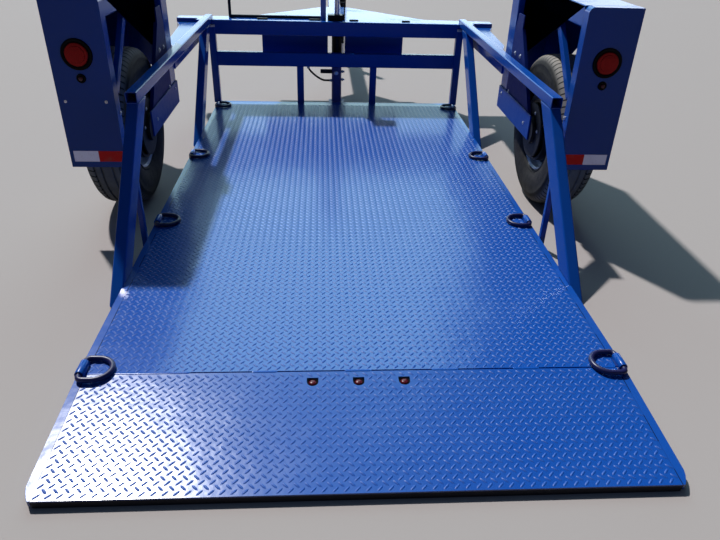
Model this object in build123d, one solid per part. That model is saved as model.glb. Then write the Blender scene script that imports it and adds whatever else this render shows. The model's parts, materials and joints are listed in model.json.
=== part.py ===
from build123d import *
import os
from math import atan2, cos, prod, radians, sin, tan

# Single-axle ground-loading step deck trailer, millimetres, +Z up, +Y towards the hitch.
# Every place along the trailer is a distance ahead of the deck's rear edge.

# Overall places along the trailer
APPROACH = 480.0          # sloped rear approach plate, from the rear edge to the seam
FLAT = 3250.0             # flat deck, from the seam to the header
HEADER_FACE = APPROACH + FLAT
CHASSIS_GAP = 22.0        # running gap between the header's tubes and the chassis
AXLE_AHEAD = 2067.0       # wheel centres, ahead of the rear edge
TONGUE_REACH = 1760.0     # tongue beam, ahead of the crossmember
COUPLER_REACH = 250.0     # coupler nose, ahead of the tongue beam's end

# Deck
HALF_DECK = 925.0         # centre line to the outer edge of the deck
DECK_TOP = 60.0
PLATE = 5.0               # tread plate
EDGE_BAR = 28.0           # plain strip along each side of the tread plate
SIDE_BEAM = 50.0          # width of the beam under each edge
REAR_TOP = 28.0           # top of the approach plate at its rear edge
LIP = 12.0                # thickness of the rear lip bar
BAR_END_LIFT = 9.0        # approach side bars stay this far off the ground
CORNER_CUT = ((20.0, 0.0), (13.0, 12.0), (4.0, 33.0), (0.0, 50.0))  # rear corner: inboard, ahead
CROSSMEMBER_PITCH = 405.0
CROSSMEMBER_WIDTH = 60.0
GROUND_GAP = 4.0          # crossmembers stay this far off the ground
WELD_SEAM = 6.0           # open seam between the two tread plates

# Basket round the deck
TUBE = 51.0               # square tube of the rails and posts
WALL = 4.0
LAP = 8.0                 # rails and posts reach this far in over the deck's edge
DEEP_TUBE = 102.0         # deep side of the slanted posts and braces
RAIL_TOP = 691.0
RAIL_END = 1593.0         # rear end of the side rails
HEADER_TUBE_HIGH = 101.0
HEADER_TOP = 661.0
MID_TOP = 436.0
CORNER_POST_TOP = 625.0
CORNER_POST_PROUD = 12.0  # corner post's rear face, behind the header tubes
SHORT_POST_X = 280.0
SLANT = 44.6              # degrees from level, slanted posts and braces
REAR_POST_FOOT = 1009.0   # rear face of the slanted post, at deck level
BRACE_TOP = 3500.0        # rear face of the front brace, at the rail's underside
STRUT = 25.0
STRUT_AHEAD = 1452.0
POST_LIFT = 5.0           # feet stay this far off the ground

# Tie-down rings
RING_AHEAD = (493.0, 1614.0, 2541.0, 3625.0)
RING_ROD = 19.0
RING_WIDE = 131.0         # along the trailer
RING_DEEP = 116.0         # across the trailer
RING_BOW_SIDES = 8
ROD_SIDES = 8             # flat sides of the ring's bar and of the clip
RING_RUN = 0.5            # clearance of the ring in its clip
CLIP_LONG = 66.0
CLIP_WALL = 5.0

# Marker lamps in the approach plate
ID_PITCH = 152.4
ID_BEHIND_SEAM = 51.0
ID_WIDE = 38.0
ID_DEEP = 38.0
ID_LENS_R = 13.0
ID_LENS_HIGH = 4.0
ID_SEAT = 1.0             # grommet's top, above the plate's underside at the lens

# Wheel boxes
BASKET_GAP = 17.0         # from the rail's outer face to the boxes' inner plates
SKIRT_IN = 43.0           # box's inner edge, outboard of those plates
BOX_WIDE = 244.0
BOX_TOP = 1065.0
BOX_LOW = 330.0
BOX_REAR = 1640.0
BOX_LENGTH = 1170.0
SHEET = 4.0
PANEL_FLANGE = 60.0
PANEL_CORNER = 26.0
SKIRT_LOW = 978.0
SKIRT_LONG = 760.0        # inner skirt, from the tail panel's face
SKIRT_TAB = 80.0          # tab at the skirt's front end
COLUMN_REAR = 2568.0
COLUMN_LONG = 132.0
COLUMN_LOW = 345.0
BEAM_HIGH = 130.0
BEAM_PLATE = 8.0
BEAM_REAR = 2040.0
BRACKET_LAP = 15.0        # bracket plate over the beam
BRACKET_FLANGE = 19.0
BRACKET = ((0.0, 0.0), (465.0, 0.0), (140.0, 385.0), (140.0, 455.0), (38.0, 455.0),
           (0.0, 355.0))  # behind the column, above the plate's foot
ARCH = 449.0              # wheel arch radius in the outer skin
STAY_FOOT = (60.0, 345.0)  # ahead of the panel's face, above its lower edge
STAY_HEAD = (385.0, 670.0)
STAY = 40.0
STAY_DEEP = 25.0

# Lamps and plate screws on the tail panels
LAMP_OUT = 126.0          # lamps' centre line, from the box's inner edge
TAIL_LAMP = (835.0, 66.0, 50.0)    # height, grommet radius, lens radius
MARKER_LAMP = (735.0, 20.0, 10.0)
GROMMET_PROUD = 7.0
LENS_PROUD = 14.0
PLATE_PITCH = 177.8       # number plate screws, on the left panel
PLATE_HIGH = 634.0
SCREW_HOLE_R = 3.5

# Wheels
TYRE_OUT = 107.0          # tyre's centre plane, from the box's inner edge
TYRE_R = 391.0
TYRE_WIDE = 230.0
TYRE_SIDE = ((0.266, 5.0), (0.49, 0.0), (0.755, 7.0), (0.925, 22.0),
             (1.0, 43.0))  # share of the height from bead to tread, inboard of the widest place
TYRE_HOLLOW = ((0.904, 46.0), (0.66, 21.0))  # the same for the inside
TYRE_BEAD = 28.0          # thickness of the bead
BEAD_RUN = 0.3            # tyre bead on the rim's seat
BEAD_SIDE = 2.0           # bead to the rim's lip
WEDGE_REPEATS = (2, 2, 2, 2, 3)  # a wheel's wedge is copied so often, step by step
RIM_R = 203.0
RIM_WIDE = 178.0
RIM_LIP = 9.0
RIM_WALL = 5.0
DISC_OUT = 25.0           # wheel disc's face, from the tyre's centre plane
DISC = 8.0
DISC_CROWN = 120.0        # radius at which the disc turns out to the barrel
DISC_DISH = 24.0
DISC_FIT = 1.0            # round the hub, and its lap with the barrel
DRUM_R = 160.0
DRUM_DEEP = 76.0
DRUM_WALL = 14.0
DRUM_WEB = 10.0
HUB_R = 45.0
HUB_CAP = 40.0            # hub's cap, beyond the disc's back
HUB_FLANGE_R = 107.0
HUB_FLANGE = 12.0
SPINDLE_R = 25.0
SPINDLE_END = 8.0         # spindle's bore, beyond the disc's back
RUN = 0.3                 # clearance round the spindle
ARM_THICK = 19.0
ARM_HALF = 62.0           # half height of the arm at the axle
ARM_PAST = 20.0           # arm's rear end, behind the axle
PIVOT_BACK = 70.0         # arm's pivot, behind the column
AXLE_BOSS_R = 72.0
BACKING = 8.0             # brake backing plate
BACKING_ROOM = 2.0        # round it, in the drum

# Chassis ahead of the deck
CROSS = 100.0             # crossmember, square
CROSS_AHEAD = 95.0        # from the header's front to the crossmember
CHASSIS_TOP = 640.0
PLATE_TOP = 8.0           # tongue plate thickness
ARM_INSET = 72.0          # crossmember's end, inboard of the box's outer face
ARM_DROP = 20.0           # corner arm's top, under the crossmember's
ARM_EDGE = ((0.0, 0.0), (45.0, 0.126), (82.0, 0.66), (172.0, 0.923))  # inboard, share of its length
TONGUE_HALF = 100.0       # half width of the tongue plate's nose
TRIANGLE_HALF = 690.0
NOSE_AHEAD = 820.0        # nose of the plate, ahead of the header's front
PLATE_STEP = 30.0         # plate's taper starts so far ahead of the crossmember
DRAWBAR = 80.0
BEAM = 102.0              # tongue beam, square
STORE_IN = 67.0
STORE_OUT = (525.0, -580.0)   # outer faces of the right and the left store box
STORE_LOW = 330.0
STORE_HIGH = 230.0
STORE_LONG = 250.0
STOPS = ((-594.0, -517.0), (-209.0, -123.0), (93.0, 160.0), (489.0, 550.0))  # left and right faces
STOP_HIGH = 20.0

# Coupler and jack
COUPLER_WALL = 8.0        # coupler's side, inboard of the tongue beam's
COUPLER_EDGE = ((1.0, 10.0), (0.24, 30.0), (0.0, 55.0), (0.0, 104.0), (0.24, 114.0),
                (1.0, 108.0))  # share of its reach behind the nose, below the chassis top
SOCKET_R = 31.0
SOCKET_BACK = 75.0        # ball socket, behind the coupler's nose
SOCKET_DEEP = 40.0
JACK_BACK = 250.0         # jack's axis, behind the tongue beam's end
JACK_ASIDE = 40.0         # jack's axis, from the beam's side
JACK_BORE = 27.0
JACK_WALL = 5.0
JACK_LOW = 210.0
JACK_LONG = 720.0
JACK_CAP = 20.0
JACK_PLATE = 10.0
JACK_FOOT_R = 95.0
JACK_FOOT = 8.0
JACK_LEG = 500.0

# Lift
LIFT_TRAVEL = 330.0
BARREL_R = 38.0
BARREL_WALL = 6.0
BARREL_AHEAD = 46.0       # barrel axis ahead of the header's front
BARREL_TOP = 700.0
BARREL_HEAD = (-70.0, 40.0, 45.0)  # left face, right face, height
HEAD_PROUD = 2.0          # head's front and rear faces, beyond the barrel
BARREL_LID = 30.0
BARREL_FLOOR = 20.0
BARREL_FOOT = (60.0, 15.0, 6.0)    # half width, thickness, reach past the barrel
NOTCH_ROOM = 10.0         # tongue plate's notch round the barrel
ROD_R = 19.0
ROD_RUN = 1.0
PISTON = 25.0
MAST_X = (-123.0, -82.0)  # left and right faces of the mast
MAST_DEEP = 41.0
MAST_HEAD = 34.0
HEAD_CLEAR = 12.0
PORT_HIGH = 214.0         # hose port in the barrel
HOSE_R = 8.0
HOSE_START = -218.0
LOCK_BAR = (-820.0, 20.0, 190.0)   # left end, bar's side, lever's height
HANDLE = (0.0, 63.0, 128.0)        # left face, right face, height
HANDLE_ROD = 9.0
HANDLE_AHEAD = 30.0       # handle, ahead of the crossmember's rear face

HEADER_FRONT = HEADER_FACE + TUBE
RAIL_IN = HALF_DECK - LAP
RAIL_OUT = RAIL_IN + TUBE
RAIL_LOW = RAIL_TOP - TUBE
INNER_PLANE = RAIL_OUT + BASKET_GAP
COLUMN_IN = INNER_PLANE + BEAM_PLATE
COLUMN_OUT = COLUMN_IN + TUBE
COLUMN_FRONT = COLUMN_REAR + COLUMN_LONG
BOX_IN = INNER_PLANE + SKIRT_IN
BOX_OUT = BOX_IN + BOX_WIDE
BOX_FRONT = BOX_REAR + BOX_LENGTH
LAMP_X = BOX_IN + LAMP_OUT
WHEEL_X = BOX_IN + TYRE_OUT
CROSS_REAR = HEADER_FRONT + CROSS_AHEAD
CROSS_FRONT = CROSS_REAR + CROSS
ARM_OUT = BOX_OUT - ARM_INSET
BEAM_END = CROSS_REAR + TONGUE_REACH
LENGTH = BEAM_END + COUPLER_REACH
JACK_AHEAD = BEAM_END - JACK_BACK
DECK_ON = CHASSIS_TOP + PLATE_TOP
LIFT_AHEAD = HEADER_FRONT + BARREL_AHEAD
MAST_LOW = BARREL_TOP + LIFT_TRAVEL + HEAD_CLEAR
MAST_TOP = MAST_LOW + MAST_HEAD


def at(ahead):
    """Y of a place given as its distance ahead of the deck's rear edge."""
    return ahead - LENGTH / 2


def block(x0, x1, a0, a1, z0, z1):
    """Upright block between two X, two distances ahead of the rear edge and two Z."""
    size = (abs(x1 - x0), abs(a1 - a0), abs(z1 - z0))
    return Pos((x0 + x1) / 2, at((a0 + a1) / 2), (z0 + z1) / 2) * Box(*size)


def side_profile(points, x0, x1):
    """Outline given as (ahead, z) pairs, extruded across from x0 to x1."""
    wire = Polyline([(x0, at(a), z) for a, z in points], close=True)
    return extrude(make_face(wire), amount=x1 - x0, dir=(1, 0, 0))


def plan_profile(points, z0, z1):
    """Outline given as (x, ahead) pairs, extruded upward from z0 to z1."""
    wire = Polyline([(x, at(a), z0) for x, a in points], close=True)
    return extrude(make_face(wire), amount=z1 - z0, dir=(0, 0, 1))


def rod(x, ahead, z, radius, length, axis):
    """Round bar whose first end is at the given place and which runs along +axis."""
    turn = {"x": Rot(0, 90, 0), "y": Rot(-90, 0, 0), "z": Rot(0, 0, 0)}[axis]
    return Pos(x, at(ahead), z) * turn * Pos(0, 0, length / 2) * Cylinder(radius, length)


def flat_sided(path_points, radius, closed):
    """Bar of ROD_SIDES flats along straight runs that meet in mitres."""
    path = Polyline(*path_points, close=closed)
    start = Plane(origin=path @ 0, z_dir=path % 0)
    return sweep(start * RegularPolygon(radius, ROD_SIDES), path=path, transition=Transition.RIGHT)


def other_side(shape):
    return mirror(shape, about=Plane.YZ)


def pair(shape):
    return Compound(children=[shape, other_side(shape)])


def group(shapes):
    return Compound(children=list(shapes))


# Deck

def slot_prism(x, z0, z1):
    """Upright prism of the marker lamps' D-shaped hole, straight side towards the seam."""
    ahead = APPROACH - ID_BEHIND_SEAM
    straight = block(x - ID_WIDE / 2, x + ID_WIDE / 2, ahead, ahead + ID_DEEP / 2, z0, z1)
    bow = rod(x, ahead, z0, ID_WIDE / 2, z1 - z0, "z")
    keep = block(x - ID_WIDE / 2, x + ID_WIDE / 2, ahead - ID_DEEP / 2, ahead, z0, z1)
    return straight + (bow & keep)


def approach_height(ahead):
    return REAR_TOP + (DECK_TOP - REAR_TOP) * ahead / APPROACH


def deck_plate():
    half = HALF_DECK - EDGE_BAR
    return block(-half, half, APPROACH + WELD_SEAM / 2, HEADER_FACE, DECK_TOP - PLATE, DECK_TOP)


def approach_plate():
    half = HALF_DECK - EDGE_BAR
    end = APPROACH - WELD_SEAM / 2
    top = approach_height(end)
    plate = side_profile([(0, REAR_TOP - PLATE), (end, top - PLATE), (end, top), (0, REAR_TOP)],
                         -half, half)
    for step in (-1, 0, 1):
        plate -= slot_prism(step * ID_PITCH, 0, DECK_TOP)
    return plate


def edge_bars():
    """Strips along the deck, sloped beside the approach plate, with their rear corners cut."""
    inner = HALF_DECK - EDGE_BAR
    flat = block(inner, HALF_DECK, APPROACH, HEADER_FRONT, DECK_TOP - PLATE, DECK_TOP)
    slope = side_profile([(0, BAR_END_LIFT), (APPROACH, BAR_END_LIFT), (APPROACH, DECK_TOP),
                          (0, REAR_TOP)], inner, HALF_DECK)
    corner = [(HALF_DECK - inboard, ahead) for inboard, ahead in CORNER_CUT]
    return pair(flat + slope - plan_profile(corner + [(HALF_DECK, 0)], 0, DECK_TOP))


def rear_lip():
    half = HALF_DECK - EDGE_BAR
    return block(-half, half, 0, LIP, 0, REAR_TOP - PLATE)


def side_beams():
    return pair(block(HALF_DECK - SIDE_BEAM, HALF_DECK, APPROACH, HEADER_FRONT, 0, DECK_TOP - PLATE))


def deck_crossmembers():
    """Channels between the side beams, open underneath, and the sill under the header."""
    half = HALF_DECK - SIDE_BEAM
    top = DECK_TOP - PLATE
    count = int((FLAT - CROSSMEMBER_WIDTH) // CROSSMEMBER_PITCH) + 1
    shapes = [block(-half, half, HEADER_FACE, HEADER_FRONT, GROUND_GAP, top)]
    for index in range(count):
        a = APPROACH + index * CROSSMEMBER_PITCH
        channel = block(-half, half, a, a + CROSSMEMBER_WIDTH, GROUND_GAP, top)
        channel -= block(-half, half, a + WALL, a + CROSSMEMBER_WIDTH - WALL, GROUND_GAP, top - WALL)
        shapes.append(channel)
    return group(shapes)


def id_lamp(x):
    """Grommet that fills its hole from below, with a round lens on it."""
    ahead = APPROACH - ID_BEHIND_SEAM
    high = approach_height(ahead) - PLATE + ID_SEAT
    return slot_prism(x, GROUND_GAP, high) + rod(x, ahead, high, ID_LENS_R, ID_LENS_HIGH, "z")


# Basket

def corner_post():
    inner = HALF_DECK - EDGE_BAR
    rear = HEADER_FACE - CORNER_POST_PROUD
    return block(inner, inner + TUBE, rear, rear + TUBE, DECK_TOP, CORNER_POST_TOP)


def header_tube(top, half):
    outer = block(-half, half, HEADER_FACE, HEADER_FRONT, top - HEADER_TUBE_HIGH, top)
    inner = block(-half, half, HEADER_FACE + WALL, HEADER_FRONT - WALL, top - HEADER_TUBE_HIGH + WALL,
                  top - WALL)
    return outer - inner - corner_post() - other_side(corner_post())


def header_posts():
    short = block(SHORT_POST_X - TUBE / 2, SHORT_POST_X + TUBE / 2, HEADER_FACE, HEADER_FRONT,
                  DECK_TOP - PLATE, MID_TOP - HEADER_TUBE_HIGH)
    return group([corner_post(), other_side(corner_post()), short, other_side(short)])


def rail():
    outer = block(RAIL_IN, RAIL_OUT, RAIL_END, HEADER_FRONT, RAIL_LOW, RAIL_TOP)
    return outer - block(RAIL_IN + WALL, RAIL_OUT - WALL, RAIL_END, HEADER_FRONT - WALL, RAIL_LOW + WALL,
                         RAIL_TOP - WALL)


def slanted(rear_top):
    """Deep tube from the rail's underside down to its foot, notched round the deck's edge."""
    run = (RAIL_LOW - POST_LIFT) / tan(radians(SLANT))
    thick = DEEP_TUBE / sin(radians(SLANT))
    points = [(rear_top, RAIL_LOW), (rear_top + thick, RAIL_LOW), (rear_top + thick - run, POST_LIFT),
              (rear_top - run, POST_LIFT)]
    return side_profile(points, RAIL_IN, RAIL_OUT) - block(RAIL_IN, HALF_DECK, 0, HEADER_FRONT, 0, DECK_TOP)


def rear_posts():
    top = REAR_POST_FOOT + (RAIL_LOW - DECK_TOP) / tan(radians(SLANT))
    return pair(slanted(top))


def rear_struts():
    """Thin upright under each slanted post, cut to the post's slope."""
    slope = tan(radians(SLANT))
    thick = DEEP_TUBE / sin(radians(SLANT))
    def under(ahead):
        return DECK_TOP + (ahead - REAR_POST_FOOT - thick) * slope
    a0 = STRUT_AHEAD - STRUT / 2
    a1 = STRUT_AHEAD + STRUT / 2
    points = [(a0, POST_LIFT), (a1, POST_LIFT), (a1, under(a1)), (a0, under(a0))]
    return pair(side_profile(points, HALF_DECK, HALF_DECK + STRUT))


# Tie-down rings

def tie_ring(ahead):
    """D-shaped ring lying on the deck, straight side under its clip."""
    z = DECK_TOP + RING_ROD / 2 + CLIP_WALL
    bar_x = HALF_DECK - EDGE_BAR / 2
    half = (RING_WIDE - RING_ROD) / 2
    bow_x = bar_x - (RING_DEEP - RING_ROD - half)
    points = [(bar_x, at(ahead) + half, z), (bar_x, at(ahead) - half, z)]
    for step in range(RING_BOW_SIDES + 1):
        turn = radians(180 * step / RING_BOW_SIDES)
        points.append((bow_x - half * sin(turn), at(ahead) - half * cos(turn), z))
    return flat_sided(points, RING_ROD / 2, True)


def ring_clip(ahead):
    """Strap rolled over the ring's straight bar, its feet on the side strip."""
    z = DECK_TOP + RING_ROD / 2 + CLIP_WALL
    bar_x = HALF_DECK - EDGE_BAR / 2
    bore = RING_ROD / 2 + RING_RUN
    side = Pos(bar_x, at(ahead + CLIP_LONG / 2), z) * Rot(90, 0, 0)
    outer = extrude(side * RegularPolygon(bore + CLIP_WALL, ROD_SIDES), CLIP_LONG)
    base = block(bar_x - bore, bar_x + bore, ahead - CLIP_LONG / 2, ahead + CLIP_LONG / 2, DECK_TOP, z)
    return outer + base - extrude(side * RegularPolygon(bore, ROD_SIDES), CLIP_LONG) \
        - block(bar_x - EDGE_BAR, bar_x + EDGE_BAR, ahead - CLIP_LONG, ahead + CLIP_LONG, 0, DECK_TOP)


# Wheel boxes

def tail_panel():
    """Rear panel with a rounded top inner corner and a flange along its inner edge."""
    panel = block(BOX_IN, BOX_OUT, BOX_REAR, BOX_REAR + PANEL_FLANGE, BOX_LOW, BOX_TOP)
    corner = panel.edges().filter_by(Axis.Y).sort_by(Axis.Z)[-2:].sort_by(Axis.X)[0]
    panel = fillet(corner, PANEL_CORNER)
    hollow = block(BOX_IN + SHEET, BOX_OUT + SHEET, BOX_REAR + SHEET, BOX_REAR + PANEL_FLANGE,
                   BOX_LOW - SHEET, BOX_TOP - SHEET)
    inner = hollow.edges().filter_by(Axis.Y).sort_by(Axis.Z)[-2:].sort_by(Axis.X)[0]
    return panel - fillet(inner, PANEL_CORNER - SHEET)


def left_tail_panel():
    """The left panel also has the number plate's two screw holes."""
    panel = other_side(tail_panel())
    for step in (-0.5, 0.5):
        panel -= rod(-LAMP_X + step * PLATE_PITCH, BOX_REAR, PLATE_HIGH, SCREW_HOLE_R, SHEET, "y")
    return panel


def fender():
    """Folded skin round the wheel: top, outer side with its arch, front end and short inner skirt."""
    rear = BOX_REAR + PANEL_FLANGE
    skirt_end = BOX_REAR + SKIRT_LONG
    shell = block(BOX_IN, BOX_OUT, rear, BOX_FRONT, BOX_LOW, BOX_TOP)
    shell -= block(BOX_IN + SHEET, BOX_OUT - SHEET, rear, BOX_FRONT - SHEET, BOX_LOW, BOX_TOP - SHEET)
    for start, end, low in ((rear, skirt_end - SKIRT_TAB, SKIRT_LOW),
                            (skirt_end - SKIRT_TAB, skirt_end, SKIRT_LOW - SKIRT_TAB),
                            (skirt_end, BOX_FRONT - SHEET, BOX_TOP - SHEET)):
        shell -= block(BOX_IN, BOX_IN + SHEET, start, end, BOX_LOW, low)
    shell -= block(BOX_IN, BOX_OUT - SHEET, BOX_FRONT - SHEET, BOX_FRONT, BOX_LOW, CHASSIS_TOP - CROSS)
    return shell - rod(BOX_OUT - SHEET, AXLE_AHEAD, TYRE_R, ARCH, SHEET, "x")


def front_column():
    """Tube under the box's top, in line with the lower beam."""
    outer = block(COLUMN_IN, COLUMN_OUT, COLUMN_REAR, COLUMN_FRONT, COLUMN_LOW, BOX_TOP - SHEET)
    return outer - block(COLUMN_IN + WALL, COLUMN_OUT - WALL, COLUMN_REAR + WALL, COLUMN_FRONT - WALL,
                         COLUMN_LOW, BOX_TOP - SHEET - WALL)


def lower_beam():
    return block(INNER_PLANE, COLUMN_IN, BEAM_REAR, COLUMN_FRONT, COLUMN_LOW, COLUMN_LOW + BEAM_HIGH)


def spring_frame():
    """A-shaped bracket plate behind the column, with a flange down its rear edge."""
    base = COLUMN_LOW + BEAM_HIGH - BRACKET_LAP
    points = [(COLUMN_REAR - behind, base + up) for behind, up in BRACKET]
    plate = side_profile(points, COLUMN_IN, COLUMN_IN + BEAM_PLATE)
    low, high = points[1], points[2]
    flange = side_profile([low, high, (high[0] + BEAM_PLATE, high[1]), (low[0] + BEAM_PLATE, low[1])],
                          COLUMN_IN, COLUMN_IN + BRACKET_FLANGE)
    return plate + flange


def stay():
    """Slanted bar from the tail panel's flange up to the skirt."""
    foot = (BOX_REAR + STAY_FOOT[0], BOX_LOW + STAY_FOOT[1])
    head = (BOX_REAR + STAY_HEAD[0], BOX_LOW + STAY_HEAD[1])
    angle = atan2(head[1] - foot[1], head[0] - foot[0])
    dx = STAY * sin(angle)
    dz = STAY * cos(angle)
    points = [foot, (foot[0] + dx, foot[1] - dz), (head[0] + dx, head[1] - dz), head]
    return side_profile(points, BOX_IN + SHEET, BOX_IN + SHEET + STAY_DEEP)


def round_lamp(z, grommet_r, lens_r):
    grommet = rod(LAMP_X, BOX_REAR - GROMMET_PROUD, z, grommet_r, GROMMET_PROUD, "y")
    return grommet + rod(LAMP_X, BOX_REAR - LENS_PROUD, z, lens_r, LENS_PROUD, "y")


# Wheels, drawn about the Z axis with the outboard side up, then turned to lie along X

def to_wheel(solid):
    return Pos(WHEEL_X, at(AXLE_AHEAD), TYRE_R) * Rot(0, 90, 0) * solid


def round_ring(points):
    """Ring of like flat-sided wedges, whose corners lie at the radii of an (r, x) outline."""
    step = 360 / prod(WEDGE_REPEATS)
    flat = cos(radians(step / 2))
    half = TYRE_R * tan(radians(step / 2))
    face = make_face(Polyline([(r * flat, 0, x) for r, x in points], close=True))
    corners = [(0, 0, -TYRE_WIDE), (TYRE_R, -half, -TYRE_WIDE), (TYRE_R, half, -TYRE_WIDE)]
    sector = extrude(make_face(Polyline(corners, close=True)), amount=2 * TYRE_WIDE, dir=(0, 0, 1))
    ring = Rot(0, 0, step / 2) * (extrude(face, amount=half, both=True) & sector)
    for repeats in WEDGE_REPEATS:
        ring = ring.fuse(*[Rot(0, 0, index * step) * ring for index in range(1, repeats)])
        step *= repeats
    return to_wheel(ring)


def wheel_disc(radius, start, end):
    return to_wheel(Pos(0, 0, (start + end) / 2) * Cylinder(radius, end - start))


def tyre():
    """Hollow tyre, open towards the rim."""
    bead = RIM_R + BEAD_RUN
    half = TYRE_WIDE / 2
    seat = RIM_WIDE / 2 - RIM_LIP - BEAD_SIDE
    outside, inside = ([(bead + share * (TYRE_R - bead), half - inboard) for share, inboard in table]
                       for table in (TYRE_SIDE, TYRE_HOLLOW))
    outer = [(bead, seat)] + outside
    inner = inside + [(bead, seat - TYRE_BEAD)]
    near = inner + outer
    return round_ring(near + [(r, -x) for r, x in reversed(near)])


def rim():
    """Barrel with its two lips and the dished disc between them."""
    end = RIM_WIDE / 2
    groove = end - RIM_WALL
    bore = RIM_R - RIM_WALL
    lip = RIM_R + RIM_LIP
    barrel = round_ring([(bore, -end), (lip, -end), (lip, -groove), (RIM_R, -groove), (RIM_R, groove),
                         (lip, groove), (lip, end), (bore, end)])
    back = DISC_OUT - DISC
    near = HUB_R + DISC_FIT
    far = bore + DISC_FIT
    disc = round_ring([(near, DISC_OUT), (DISC_CROWN, DISC_OUT), (DISC_CROWN, DISC_OUT + DISC_DISH),
                       (far, DISC_OUT + DISC_DISH), (far, back + DISC_DISH),
                       (DISC_CROWN + DISC, back + DISC_DISH), (DISC_CROWN + DISC, back), (near, back)])
    return barrel + disc


def drum():
    """Brake drum and hub, open towards the trailer."""
    back = DRUM_WALL - TYRE_WIDE / 2
    front = back + DRUM_DEEP
    web = front - DRUM_WEB
    face = DISC_OUT - DISC
    inner = DRUM_R - DRUM_WALL
    solid = round_ring([(inner, back), (DRUM_R, back), (DRUM_R, front), (SPINDLE_R, front),
                        (SPINDLE_R, web), (inner, web)])
    solid += wheel_disc(HUB_R, web, face + HUB_CAP)
    solid += wheel_disc(HUB_FLANGE_R, face - HUB_FLANGE, face)
    return solid - wheel_disc(SPINDLE_R + RUN, web, face + SPINDLE_END)


def suspension_arm():
    """Trailing arm with its pivot boss, spindle and brake backing plate."""
    x0 = COLUMN_IN
    x1 = x0 + ARM_THICK
    pivot = COLUMN_REAR - PIVOT_BACK
    rear = AXLE_AHEAD - ARM_PAST
    pivot_z = COLUMN_LOW + BEAM_HIGH / 2
    arm = side_profile([(rear, TYRE_R - ARM_HALF), (rear, TYRE_R + ARM_HALF), (pivot, pivot_z + HUB_R),
                        (pivot, pivot_z - HUB_R)], x0, x1)
    arm += rod(x0, pivot, pivot_z, HUB_R, ARM_THICK, "x")
    arm += rod(x0, AXLE_AHEAD, TYRE_R, AXLE_BOSS_R, ARM_THICK, "x")
    arm += rod(x1, AXLE_AHEAD, TYRE_R, DRUM_R - DRUM_WALL - BACKING_ROOM, BACKING, "x")
    return arm + rod(x0, AXLE_AHEAD, TYRE_R, SPINDLE_R, 2 * DRUM_DEEP, "x")


# Chassis ahead of the deck

def crossmember():
    """Square tube across, ahead of the lift, with capped ends."""
    outer = block(-ARM_OUT, ARM_OUT, CROSS_REAR, CROSS_FRONT, CHASSIS_TOP - CROSS, CHASSIS_TOP)
    return outer - block(WALL - ARM_OUT, ARM_OUT - WALL, CROSS_REAR + WALL, CROSS_FRONT - WALL,
                         CHASSIS_TOP - CROSS + WALL, CHASSIS_TOP - WALL)


def tongue_plate():
    """Top plate: a strip over the crossmember, a notch for the lift and a tapered nose."""
    rear = HEADER_FRONT + CHASSIS_GAP
    nose = HEADER_FRONT + NOSE_AHEAD
    half = [(COLUMN_OUT, rear), (COLUMN_OUT, CROSS_REAR), (ARM_OUT, CROSS_REAR), (ARM_OUT, CROSS_FRONT),
            (TRIANGLE_HALF, CROSS_FRONT + PLATE_STEP), (TONGUE_HALF, nose)]
    plate = plan_profile(half + [(-x, a) for x, a in reversed(half)], CHASSIS_TOP, DECK_ON)
    room = BARREL_R + NOTCH_ROOM
    return plate - block(-room, room, rear, LIFT_AHEAD + room, CHASSIS_TOP, DECK_ON)


def drawbars():
    """Diagonal channels under the plate's tapered edges."""
    nose = HEADER_FRONT + NOSE_AHEAD
    points = [(TRIANGLE_HALF, CROSS_FRONT), (BEAM / 2, nose), (BEAM / 2, nose - 0.9 * DRAWBAR),
              (TRIANGLE_HALF - 1.05 * DRAWBAR, CROSS_FRONT)]
    return pair(plan_profile(points, CHASSIS_TOP - DRAWBAR, CHASSIS_TOP))


def tongue_beam():
    """Square tube to the coupler."""
    outer = block(-BEAM / 2, BEAM / 2, CROSS_FRONT, BEAM_END, CHASSIS_TOP - BEAM, CHASSIS_TOP)
    return outer - block(-BEAM / 2 + WALL, BEAM / 2 - WALL, CROSS_FRONT, BEAM_END,
                         CHASSIS_TOP - BEAM + WALL, CHASSIS_TOP - WALL)


def corner_arm():
    """Tapered arm from the crossmember's end back to the column, past the box's front."""
    reach = CROSS_REAR - BOX_FRONT
    outer = [(ARM_OUT - inboard, CROSS_REAR - share * reach) for inboard, share in ARM_EDGE]
    inner = [(BOX_IN, outer[-1][1]), (BOX_IN, COLUMN_FRONT), (INNER_PLANE, COLUMN_FRONT),
             (INNER_PLANE, CROSS_REAR)]
    return plan_profile(outer[:-1] + inner, CHASSIS_TOP - CROSS, CHASSIS_TOP - ARM_DROP)


def store_box(outer):
    inner = STORE_IN if outer > 0 else -STORE_IN
    return block(inner, outer, CROSS_FRONT, CROSS_FRONT + STORE_LONG, STORE_LOW, STORE_LOW + STORE_HIGH)


# Lift

def lift_mast():
    """Upright tube on the plate beside the lift, with an arm at its top over the rod."""
    left, right = MAST_X
    front = CROSS_REAR + MAST_DEEP
    post = block(left, right, CROSS_REAR, front, DECK_ON, MAST_TOP)
    return post + block(left, BARREL_R, LIFT_AHEAD - BARREL_R, front, MAST_LOW, MAST_TOP)


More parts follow.
